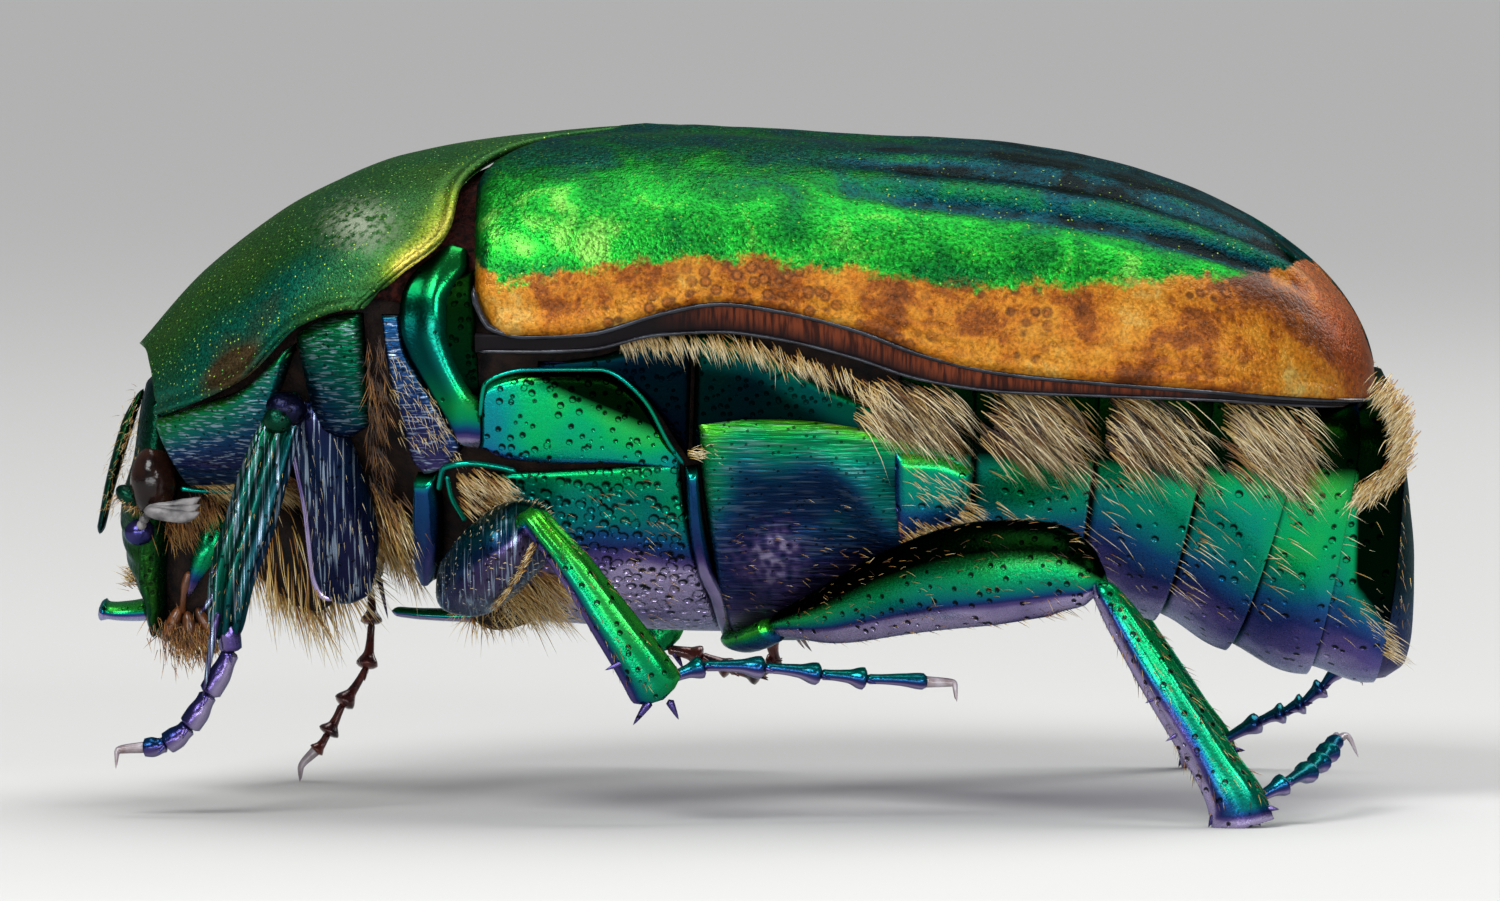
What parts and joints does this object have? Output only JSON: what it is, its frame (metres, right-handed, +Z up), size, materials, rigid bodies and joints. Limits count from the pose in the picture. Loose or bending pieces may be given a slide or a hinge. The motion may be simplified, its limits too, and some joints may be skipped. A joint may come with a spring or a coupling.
{
  "type": "green june beetle",
  "caption": "Life-size still model of a horned green flower beetle, standing, with closed wing cases, bent head, jointed legs and a metallic underside.",
  "frame": {"origin": "centre of the bounding box, on the floor the beetle stands on", "axes": "+Z up, head towards -X, the beetle's left side towards -Y"},
  "size_m": [0.0266, 0.0148, 0.0136],
  "materials": {
    "velvet_green": "velvety green with a fine metallic sparkle, ochre along the side of each wing case",
    "metallic_green": "glossy metallic green to teal, finely pitted",
    "metallic_teal": "glossy metallic teal and blue, finely wrinkled",
    "metallic_blue": "glossy metallic blue to violet, with rows of pits",
    "eye_brown": "glossy dark brown",
    "feeler_grey": "smooth bluish grey",
    "mouth_brown": "orange-brown, bristly"
  },
  "bodies": {
    "root": {"abdomen_ring_1": "metallic_green", "abdomen_ring_2": "metallic_green", "abdomen_ring_3": "metallic_green", "abdomen_ring_4": "metallic_green", "abdomen_ring_5": "metallic_green", "abdomen_ring_6": "metallic_green", "breast_spine": "metallic_teal", "brow_horn": "metallic_green", "eye_left": "eye_brown", "eye_right": "eye_brown", "feeler_left": "feeler_grey", "feeler_right": "feeler_grey", "front_foot_left": "metallic_blue", "front_foot_right": "metallic_blue", "front_hip_left": "metallic_blue", "front_hip_right": "metallic_blue", "front_shin_left": "metallic_blue", "front_shin_right": "metallic_blue", "front_thigh_left": "metallic_blue", "front_thigh_right": "metallic_blue", "front_thorax": "metallic_teal", "head": "metallic_green", "hind_foot_left": "metallic_blue", "hind_foot_right": "metallic_blue", "hind_hip_left": "metallic_blue", "hind_hip_right": "metallic_blue", "hind_joint_left": "metallic_blue", "hind_joint_right": "metallic_blue", "hind_shin_left": "metallic_blue", "hind_shin_right": "metallic_blue", "hind_thigh_left": "metallic_blue", "hind_thigh_right": "metallic_blue", "hind_thorax": "metallic_green", "hind_thorax_back": "metallic_green", "lip_horn": "metallic_green", "middle_foot_left": "metallic_blue", "middle_foot_right": "metallic_blue", "middle_hip_left": "metallic_blue", "middle_hip_right": "metallic_blue", "middle_shin_left": "metallic_blue", "middle_shin_right": "metallic_blue", "middle_thigh_left": "metallic_blue", "middle_thigh_right": "metallic_blue", "middle_thorax": "metallic_blue", "mouthparts": "mouth_brown", "side_plate_left": "metallic_teal", "side_plate_right": "metallic_teal", "tail_plate": "metallic_green", "thorax_shield": "velvet_green", "wing_case_left": "velvet_green", "wing_case_right": "velvet_green"}
  },
  "joints": []
}
